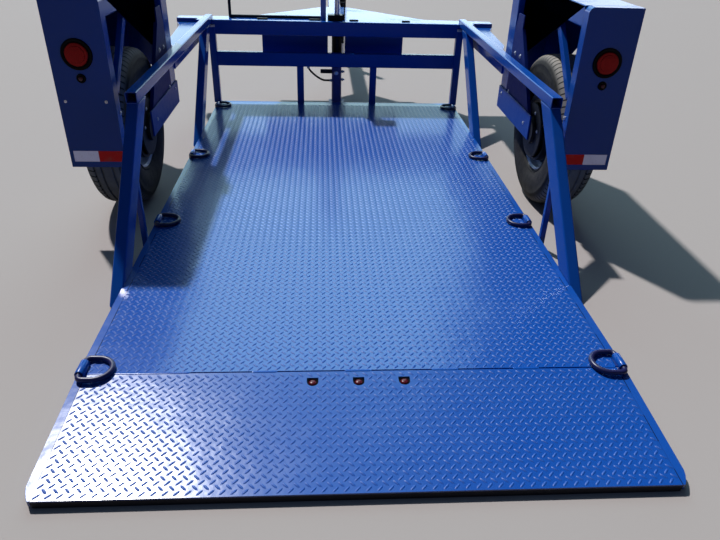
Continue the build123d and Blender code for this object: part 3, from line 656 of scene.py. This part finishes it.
def treads():
    for name, ahead in (("rear", FIRST_ROW), ("front", FIRST_ROW + FLAT_ROWS * ROW_PITCH)):
        flat = tread(f"tread_lugs_{name}", FLAT_ROWS, at(ahead))
        flat.location.z = DECK_Z
        dressed(settled(flat, 80), TREAD_PAINT, "deck", "blue_paint")
    slope = tread("tread_lugs_approach", SLOPE_ROWS, SLOPE_FIRST_ROW)
    only(slope)
    edit_mode()
    pick("VERT", near_lamp)
    bpy.ops.mesh.select_linked()
    bpy.ops.mesh.delete(type="VERT")
    object_mode()
    slope.rotation_euler.x = Vector((SEAM_AHEAD, DECK_Z - REAR_Z)).angle_signed(Vector((1, 0)))
    slope.location = (0, at(0), REAR_Z)
    dressed(settled(slope, 80), TREAD_PAINT, "deck", "blue_paint")


WELDS = ((-0.895, -0.552), (-0.355, -0.268), (-0.045, 0.046), (0.251, 0.347), (0.532, 0.626),
         (0.823, 0.895))
WELD_R = 0.0028
WELD_FLAT = 0.3
RIPPLE = 0.007
SWELL = 1.14


def weld(left, right):
    """Weld bead along X over the seam, its ripples pulled one after another."""
    nothing_selected()
    bpy.ops.mesh.primitive_circle_add(vertices=10, radius=WELD_R, fill_type="NGON",
                                      location=(left, at(SEAM_AHEAD), DECK_Z), rotation=(0, radians(90), 0))
    edit_mode()
    count = int((right - left) / RIPPLE)
    for index in range(count):
        pulled((RIPPLE, 0, 0))
        factor = 2.0 if index == 0 else 0.5 if index == count - 1 else (SWELL, 1 / SWELL)[index % 2]
        grown(1, factor, factor)
    closed_mesh()
    object_mode()
    piece = settled(bpy.context.object, 60)
    piece.location.z = DECK_Z * (1 - WELD_FLAT)
    piece.scale.z = WELD_FLAT
    return settled(piece, 60)


def seam_welds():
    dressed(joined([weld(*ends) for ends in WELDS], "seam_welds"), PAINT, "deck", "blue_paint")


# Tie-down rings

RING_R = 0.0095
RING_Z = DECK_Z + RING_R + 0.0026
BAR_X = 0.911
BOW_X = 0.870
RING_HALF = 0.056
RING_LEAN = radians(-1.1)
CORNER = 0.016
CLIP_HALF = 0.033
CLIP_NEAR = RING_R + 0.0006
CLIP_FAR = RING_R + 0.0052
CLIP_CUT = 0.0005  # the roll ends this far below the bar's middle, and its straight legs begin


def turned_on(angle, centre, steps):
    bpy.ops.mesh.spin(steps=steps, angle=radians(-angle), center=centre, axis=(0, 0, 1))


def tie_ring(y):
    """D-shaped ring: its section is pulled along the bar, round both corners and round the bow."""
    nothing_selected()
    bpy.ops.mesh.primitive_circle_add(vertices=14, radius=RING_R, location=(BAR_X, y, RING_Z),
                                      rotation=(radians(90), 0, 0))
    edit_mode()
    pulled((0, RING_HALF - CORNER, 0))
    turned_on(90, (BAR_X - CORNER, y + RING_HALF - CORNER, RING_Z), 5)
    pulled((BOW_X - BAR_X + CORNER, 0, 0))
    turned_on(180, (BOW_X, y, RING_Z), 18)
    pulled((BAR_X - CORNER - BOW_X, 0, 0))
    turned_on(90, (BAR_X - CORNER, y - RING_HALF + CORNER, RING_Z), 5)
    pulled((0, RING_HALF - CORNER, 0))
    closed_mesh()
    object_mode()
    bpy.context.object.rotation_euler.y = RING_LEAN
    return settled(bpy.context.object, 60)


def ring_clip(y):
    """Strap rolled over the ring's bar, with a foot on the side strip at each edge."""
    foot = DECK_Z + 0.0002
    back = y - CLIP_HALF
    nothing_selected()
    bpy.ops.mesh.primitive_circle_add(vertices=24, radius=CLIP_FAR, location=(BAR_X, back, RING_Z),
                                      rotation=(radians(90), 0, 0))
    piece = bpy.context.object
    edit_mode()
    all_points()
    pulled((0, 2 * CLIP_HALF, 0))
    object_mode()
    settled(piece)
    edit_mode()
    all_points()
    bpy.ops.mesh.bisect(plane_co=(0, 0, RING_Z - CLIP_CUT), plane_no=(0, 0, 1), clear_inner=True)
    pick("EDGE", lambda edge: all(abs(vertex.co.z - RING_Z + CLIP_CUT) < 0.0001 for vertex in edge.verts))
    pulled((0, 0, foot - RING_Z + CLIP_CUT))
    all_points()
    bpy.ops.mesh.normals_make_consistent(inside=False)
    object_mode()
    wall = piece.modifiers.new("wall", "SOLIDIFY")
    wall.thickness = CLIP_FAR - CLIP_NEAR
    only(piece)
    bpy.ops.object.modifier_apply(modifier=wall.name)
    return settled(rounded(piece, 0.0012, 2, 50), 50)


def rings():
    ring = joined([tie_ring(at(ahead)) for ahead in RING_AHEAD], "rings")
    dressed(both_sides(ring, "tie_rings_round"), RING_PAINT, "deck", "blue_paint", "tie_rings")
    clip = joined([ring_clip(at(ahead)) for ahead in RING_AHEAD], "clips")
    dressed(both_sides(clip, "ring_clips_rolled"), PAINT, "deck", "blue_paint", "ring_clips")


# Header

POST_REAR = HEADER_FRONT - 0.063
POST_TOP = 0.625
POST_SIDES = (HALF_PLATE + 0.0005, 0.9435)


def post_caps():
    """Thin bare caps on the corner posts' tops, where they stand out behind the header."""
    left, right = POST_SIDES
    back = POST_REAR - 0.0016
    top = block("post_cap", (left, back, POST_TOP + 0.0002), (right, POST_REAR + 0.0115, POST_TOP + 0.0022),
                0.0005)
    lip = block("post_cap_lip", (left, back, POST_TOP - 0.0130), (right, POST_REAR - 0.0002, POST_TOP),
                0.0005)
    dressed(both_sides(joined([top, lip], "cap"), "post_caps"), ZINC, "deck", "zinc")


# Lamps, tape and bolts

ID_BACK = 0.051  # the lamps' centres, behind the seam
ID_GROMMET = ((0.0, -0.010), (0.0185, -0.010), (0.0185, -0.0015), (0.0172, -0.0006), (0.0155, -0.0016),
              (0.0138, -0.004), (0.0, -0.004))
ID_LENS = ((0.0, -0.0088), (0.0136, -0.0088), (0.0134, -0.0062), (0.0122, -0.0036), (0.0094, -0.0014),
           (0.005, -0.0003), (0.0, 0.0))
LENS_PROUD = 0.014
TAPES = (("tape_red", 1.0315, 1.143, RED_TAPE), ("tape_white", 1.1432, 1.255, WHITE_TAPE))
TAPE_LOW, TAPE_HIGH = 0.357, 0.408
SCREW_HALF = 0.0875
SCREW_Z = 0.634
SKIN_BOLTS = ((1.268, 2.246, 0.922), (1.268, 2.261, 0.840))
BRACKET_BOLTS = ((0.993, 2.496, 0.705), (0.993, 2.396, 0.707), (0.993, 2.521, 0.479))
EDGE_BOLTS = ((0.985, 2.634, 0.441), (0.985, 2.142, 0.406), (1.028, 1.686, 0.572), (1.012, 2.046, 0.488),
              (1.012, 1.979, 0.410))


def id_lamps():
    """Three lamps in the approach plate: a rubber grommet in the D-shaped hole and a domed lens."""
    y = at(SEAM_AHEAD - ID_BACK)
    z = REAR_Z + (DECK_Z - REAR_Z) * (SEAM_AHEAD - ID_BACK) / SEAM_AHEAD
    grommets, lenses = [], []
    for index, x in enumerate(ID_X):
        grommets.append(spun(f"grommet_{index}", ID_GROMMET, (x, y, z), "z", 32))
        lenses.append(spun(f"lens_{index}", ID_LENS, (x, y - 0.001, z + 0.0022), "z", 24, 60))
    dressed(joined(grommets, "id_grommets"), GROMMET, "deck", "black_paint", "id_lamps")
    dressed(joined(lenses, "id_lenses"), DARK_LENS, "deck", "red_lens", "id_lamps")


def round_lamps(name, z, grommet_r, lens_r, glass):
    """On both tail panels, a grommet with a rolled rim, and a lens with a stepped edge and a low dome."""
    place = (LAMP_X, PANEL_Y, z)
    lip = (grommet_r - lens_r) * 0.5
    seat = lens_r - 0.0006
    ring = [(0.0, 0.0), (grommet_r, 0.0), (grommet_r, -0.003), (grommet_r - lip * 0.4, -0.0066),
            (grommet_r - lip, -0.007), (lens_r + lip * 0.4, -0.0056), (lens_r, -0.003), (0.0, -0.003)]
    dome = [(0.0, -0.0025), (seat, -0.0025), (seat, -LENS_PROUD * 0.55), (lens_r * 0.93, -LENS_PROUD * 0.72),
            (lens_r * 0.72, -LENS_PROUD * 0.78), (lens_r * 0.7, -LENS_PROUD * 0.9),
            (lens_r * 0.4, -LENS_PROUD * 0.98), (0.0, -LENS_PROUD)]
    grommet = spun(name + "_grommet", ring, place, "y")
    lens = spun(name + "_lens", dome, place, "y", smooth=25)
    dressed(both_sides(grommet, name + "_grommets"), GROMMET, "chassis", "black_paint", name + "s")
    dressed(both_sides(lens, name + "_lenses"), glass, "chassis", "red_lens", name + "s")


def tapes():
    """Reflective tape low on the tail panels, red inside and white outside."""
    for name, left, right, finish in TAPES:
        strip = block(name, (left, PANEL_Y - 0.0006, TAPE_LOW), (right, PANEL_Y - 0.0001, TAPE_HIGH), 0.0002)
        dressed(both_sides(strip, name + "_strips"), finish, "chassis", "red_lens")


def dome_screw(name, place, radius, high, axis):
    """Round head with a hollow in its middle, on a washer."""
    outline = [(0.0, 0.0), (radius * 1.5, 0.0), (radius * 1.5, -high * 0.25), (radius, -high * 0.3),
               (radius * 0.95, -high * 0.7), (radius * 0.6, -high), (radius * 0.25, -high),
               (radius * 0.2, -high * 0.6), (0.0, -high * 0.6)]
    return spun(name, outline, place, axis, 16)


def plate_screws():
    screws = [dome_screw(f"screw_{index}", (x, PANEL_Y, SCREW_Z), 0.0042, 0.0045, "y")
              for index, x in enumerate((-LAMP_X - SCREW_HALF, -LAMP_X + SCREW_HALF))]
    dressed(joined(screws, "plate_screws"), ZINC, "chassis", "zinc")


def bolts(name, places, radius, high):
    """Bolt heads that look inwards, at places given as x, distance ahead and z."""
    return [dome_screw(f"{name}_{index}", (x, at(ahead), z), radius, high, "x")
            for index, (x, ahead, z) in enumerate(places)]


def box_bolts():
    """Bolt heads inside the outer skin, on the bracket plate and on the box's inner edges."""
    heads = (bolts("skin_bolt", SKIN_BOLTS, 0.007, 0.006) + bolts("bracket_bolt", BRACKET_BOLTS, 0.008, 0.006)
             + bolts("edge_bolt", EDGE_BOLTS, 0.0065, 0.005))
    dressed(both_sides(joined(heads, "bolts"), "box_bolts"), ZINC, "chassis", "zinc")


# Wheels

TYRE_SIDE = ((0.2035, 0.078), (0.212, 0.093), (0.222, 0.0985), (0.226, 0.0965), (0.245, 0.1065),
             (0.280, 0.1135), (0.312, 0.115), (0.334, 0.1125), (0.3365, 0.1135), (0.343, 0.1115),
             (0.356, 0.107), (0.3715, 0.098), (0.3825, 0.0855), (0.3872, 0.072), (0.3885, 0.0655),
             (0.379, 0.0625), (0.379, 0.0575), (0.3895, 0.0545), (0.3905, 0.032), (0.3815, 0.0292),
             (0.3815, 0.0232), (0.3908, 0.0204), (0.391, 0.0))
TYRE_INSIDE = ((0.2035, -0.050), (0.240, -0.085), (0.300, -0.098), (0.350, -0.092), (0.372, -0.060),
               (0.376, 0.0), (0.372, 0.060), (0.350, 0.092), (0.300, 0.098), (0.240, 0.085), (0.2035, 0.050),
               (0.2035, 0.078))
TREAD_LOW = 0.3895  # the blocks between the grooves lie outside this radius
SHOULDER_LOW = 0.375
SHOULDER = (0.066, 0.095)
NOTCH_DEEP = 0.0065


def in_notch(face):
    """Whether a face lies between two tread blocks, on the tread or on the shoulder."""
    arm = face.calc_center_median() - WHEEL
    turn = abs(Vector((arm.z, arm.y)).angle_signed(Vector((1, 0))))
    on_shoulder = SHOULDER[0] < abs(arm.x) < SHOULDER[1] and arm.yz.length > SHOULDER_LOW
    return turn > BLOCK_TURN and (arm.yz.length > TREAD_LOW or on_shoulder)


def tyre():
    """One block and one notch of the tread are spun, the notch is cut, then both go round."""
    line, out = AXES["x"]
    outline = list(TYRE_SIDE) + [(r, -x) for r, x in reversed(TYRE_SIDE[:-1])] + list(TYRE_INSIDE)
    piece = point_line("tyre", [WHEEL + out * r + line * x for r, x in outline])
    all_points()
    bpy.ops.mesh.spin(steps=2, angle=BLOCK_TURN, center=WHEEL, axis=line)
    bpy.ops.mesh.spin(steps=1, angle=GROOVE_TURN, center=WHEEL, axis=line)
    closed_mesh()
    pick("FACE", in_notch)
    bpy.ops.mesh.extrude_region_shrink_fatten(TRANSFORM_OT_shrink_fatten={"value": -NOTCH_DEEP})
    all_points()
    bpy.ops.mesh.spin(steps=TREAD_BLOCKS - 1, angle=BLOCK_PITCH * (TREAD_BLOCKS - 1), center=WHEEL, axis=line,
                      dupli=True)
    closed_mesh()
    object_mode()
    return settled(piece, 40)


RIM_SECTION = ((0.2115, -0.089), (0.2115, -0.0845), (0.2045, -0.0795), (0.2015, -0.074), (0.1985, -0.050),
               (0.186, -0.036), (0.186, 0.004), (0.1985, 0.018), (0.2015, 0.074), (0.2045, 0.0795),
               (0.2115, 0.0845), (0.2115, 0.089), (0.2075, 0.089), (0.1985, 0.080), (0.196, 0.070),
               (0.193, 0.022), (0.1805, 0.008), (0.1805, -0.040), (0.193, -0.054), (0.196, -0.070),
               (0.1985, -0.080), (0.2075, -0.089), (0.2115, -0.089))
DISC_SECTION = ((0.0465, 0.0175), (0.0465, 0.0245), (0.088, 0.0245), (0.098, 0.027), (0.118, 0.040),
                (0.132, 0.0475), (0.158, 0.0485), (0.172, 0.044), (0.188, 0.030), (0.194, 0.028),
                (0.194, 0.0225), (0.185, 0.0235), (0.168, 0.037), (0.156, 0.0415), (0.135, 0.0405),
                (0.122, 0.034), (0.102, 0.0205), (0.090, 0.0175), (0.0465, 0.0175))
STUD_OUTLINE = ((0.0, 0.0), (0.0062, 0.0), (0.0062, 0.0155), (0.005, 0.017), (0.0, 0.017))
VENTS = 8
VENT_CIRCLE = 0.146
STUDS = 6
STUD_CIRCLE = 0.0699


def cylinder_on_wheel(turn, circle, out, **sizes):
    """Cylinder along X, at an angle round the axle and out from the wheel's middle."""
    nothing_selected()
    place = WHEEL + Vector((out, sin(turn) * circle, cos(turn) * circle))
    bpy.ops.mesh.primitive_cylinder_add(rotation=(0, radians(90), 0), location=place, **sizes)
    return bpy.context.object


def rim():
    barrel = spun("rim", RIM_SECTION, WHEEL, "x", 96, 30)
    disc = spun("disc", DISC_SECTION, WHEEL, "x", 96, 30)
    holes = [cylinder_on_wheel(2 * pi * (index + 0.5) / VENTS, VENT_CIRCLE, 0.04, vertices=20, radius=0.016,
                               depth=0.1) for index in range(VENTS)]
    cutter = joined(holes, "vents")
    only(disc)
    cut = disc.modifiers.new("vents", "BOOLEAN")
    cut.operation = "DIFFERENCE"
    cut.solver = "EXACT"
    cut.object = cutter
    bpy.ops.object.modifier_apply(modifier=cut.name)
    bpy.data.objects.remove(cutter)
    return settled(joined([barrel, disc], "rim"), 30)


def wheel_nuts():
    """Hexagon nuts with chamfered tops, on their studs."""
    nuts = []
    for index in range(STUDS):
        nut = cylinder_on_wheel(2 * pi * index / STUDS, STUD_CIRCLE, 0.034, vertices=6, radius=0.0125,
                                depth=0.019)
        place = nut.location.copy()
        settled(rounded(nut, 0.0012, 1), 20)
        stud = spun(f"stud_{index}", STUD_OUTLINE, place, "x", 14)
        nuts.append(joined([nut, stud], "nut"))
    return joined(nuts, "nuts")


def wheels():
    right = {"tyre": tyre(), "rim": rim(), "nuts": wheel_nuts()}
    for side in ("left", "right"):
        for name, finish, slot, nodes in (("tyre", RUBBER, "tyre_rubber", ["tyre"]),
                                          ("rim", RIM, "rim_paint", ["rim"]), ("nuts", ZINC, "zinc", [])):
            full_name = f"{name}_{side}_wheel"
            piece = mirrored(right[name], full_name) if side == "left" else right[name]
            piece.name = full_name
            dressed(piece, finish, f"wheel_{side}", slot, *[f"{node}_{side}" for node in nodes])


# Lift

HOSE_R = 0.008
HOSE_DROP = (-0.218, HEADER_FRONT - 0.0255, 0.335)
HOSE_PORT = (-0.038, LIFT_Y, 0.214)
HOSE_ROUTE = (HOSE_DROP, (-0.218, HEADER_FRONT - 0.0255, 0.31685), (-0.1696, HEADER_FRONT, 0.2624),
              (-0.1091, HEADER_FRONT + 0.008, 0.22368), (-0.070, LIFT_Y, 0.214), HOSE_PORT)
FERRULE = ((0.0, 0.0), (0.0105, 0.0), (0.0108, -0.004), (0.0098, -0.006), (0.0108, -0.008), (0.0098, -0.010),
           (0.0105, -0.014), (0.009, -0.016), (0.0, -0.016))
CAP = ((0.0, 0.0), (0.015, 0.0), (0.0165, -0.002), (0.0165, -0.008), (0.013, -0.012), (0.0, -0.012))
NIPPLE = ((0.0, 0.0), (0.008, 0.0), (0.008, 0.006), (0.011, 0.007), (0.011, 0.015), (0.007, 0.017),
          (0.007, 0.027), (0.0, 0.029))
NIPPLE_X = 0.034
NIPPLE_Z = (0.283, 0.222)
CAP_PLACE = (-0.004, LIFT_Y - 0.034, 0.280)  # clear of the rod's piston at every pose
VALVE_LOW = (-0.126, LIFT_Y - 0.016, 0.270)
VALVE_HIGH = (-0.034, LIFT_Y + 0.016, 0.297)


def hose():
    """Hydraulic hose from its fitting under the middle tube round to the barrel's port."""
    line = bpy.data.curves.new("hose", "CURVE")
    line.dimensions = "3D"
    line.bevel_depth = HOSE_R * 0.94
    line.bevel_resolution = 4
    line.use_fill_caps = True
    route = line.splines.new("NURBS")
    route.points.add(len(HOSE_ROUTE) - 1)
    for point, place in zip(route.points, HOSE_ROUTE):
        point.co = (*place, 1)
    route.order_u = 3
    route.use_endpoint_u = True
    route.resolution_u = 8
    made = bpy.data.objects.new("hose", line)
    bpy.context.collection.objects.link(made)
    only(made)
    bpy.ops.object.convert(target="MESH")
    piece = bpy.context.object
    edit_mode()
    closed_mesh()
    object_mode()
    dressed(settled(piece, 60), HOSE_RUBBER, "deck", "hose_rubber", "lift_hose")


def fittings():
    """Crimped ferrules at the hose's ends, the barrel's cap and nipples, and the valve block."""
    drop = spun("drop_ferrule", FERRULE, HOSE_DROP, "z", 20)
    port = spun("port_ferrule", FERRULE, HOSE_PORT, "x", 20)
    cap = spun("cap", CAP, CAP_PLACE, "y", 20)
    nipples = [spun(f"nipple_{index}", NIPPLE, (NIPPLE_X, LIFT_Y, z), "x", 16)
               for index, z in enumerate(NIPPLE_Z)]
    dressed(joined([drop, port, cap] + nipples, "lift_fittings"), ZINC, "deck", "zinc")
    dressed(block("valve", VALVE_LOW, VALVE_HIGH, 0.003), BLACK, "deck", "black_paint")


# Floor, sun and the room's light

SUN_POWER = 3.3
SUN_SHINES = Vector((0.378, -0.627, -1))
SKY_POWER = 0.115
CLOTH_TINT = (0.60, 1.0, 1.12, 1.0)
GLOW_TINT = (0.86, 0.98, 1.12, 1.0)
GLOW_POWER = 2.6
LEFT_SLOPE, RIGHT_SLOPE = 0.364, 0.268  # of the cloth's sides


def stage_floor():
    nothing_selected()
    bpy.ops.mesh.primitive_plane_add(size=60.0, location=(0, 0, -0.0005))
    floor = bpy.context.object
    floor.name = "ground"
    finish = Finish("pale_ground")
    rays = finish.node("ShaderNodeLightPath").outputs
    seen = Value(finish, rays["Is Camera Ray"]).larger(Value(finish, rays["Is Glossy Ray"]))
    finish.set(Base_Color=finish.blend(seen, colour(66, 66, 68), colour(176, 167, 163)), Roughness=0.9)
    floor.data.materials.append(finish.material)


def room_light():
    """Even dim sky, and a large bright cloth and a low glow ahead, for the trailer's plates to mirror."""
    world = bpy.data.worlds.new("room")
    world.use_nodes = True
    nodes = Nodes(world.node_tree)

    def light(tint, power):
        return nodes.node("ShaderNodeBackground", None, {0: tint, 1: power}).outputs[0]

    def both(first, second):
        return nodes.node("ShaderNodeAddShader", None, {0: first, 1: second}).outputs[0]

    x, y, z = nodes.along(nodes.node("ShaderNodeTexCoord").outputs["Generated"])
    across = nodes.band(x + y * LEFT_SLOPE, -0.05, 0.05) * (1 - nodes.band(x - y * RIGHT_SLOPE, -0.05, 0.06))
    cloth = across * nodes.band(y, 0.0, 0.1) * nodes.band(z, 0.0, 0.12)
    high = nodes.band(z, 0.6, 0.76)
    cloth = cloth * ((z * 4.1 + 0.3) * (1 - high) + high * 0.8)
    low = nodes.band(z, -0.04, 0.02) * (1 - nodes.band(z, 0.13, 0.21))
    glow = low * nodes.band(y - x.size(), 0.0, 0.1) * GLOW_POWER
    lit = both(light(colour(140, 172, 226), SKY_POWER), light(CLOTH_TINT, cloth))
    lit = both(lit, light(GLOW_TINT, glow))
    rays = nodes.node("ShaderNodeLightPath").outputs
    backdrop = light(colour(226, 230, 234), 1.0)
    room = nodes.node("ShaderNodeMixShader", None, {0: rays["Is Camera Ray"], 1: lit, 2: backdrop})
    nodes.plug(world.node_tree.nodes["World Output"], {0: room.outputs[0]})
    bpy.context.scene.world = world


def studio():
    nothing_selected()
    bpy.ops.object.light_add(type="SUN", location=(-3, 4, 5))
    sun = bpy.context.object
    sun.name = "key"
    sun.data.energy = SUN_POWER
    sun.data.angle = radians(2)
    sun.rotation_euler = SUN_SHINES.to_track_quat("-Z", "Y").to_euler()
    room_light()


camera()
for node, (tube_edge, plate_edge) in SOFT_EDGES.items():
    soft_node(node, tube_edge, plate_edge)
treads()
seam_welds()
rings()
post_caps()
id_lamps()
round_lamps("tail_lamp", z=0.835, grommet_r=0.066, lens_r=0.050, glass=LENS)
round_lamps("marker_lamp", z=0.735, grommet_r=0.020, lens_r=0.010, glass=DARK_LENS)
tapes()
plate_screws()
box_bolts()
wheels()
hose()
fittings()
stage_floor()
studio()
bpy.context.scene.view_settings.view_transform = "Standard"
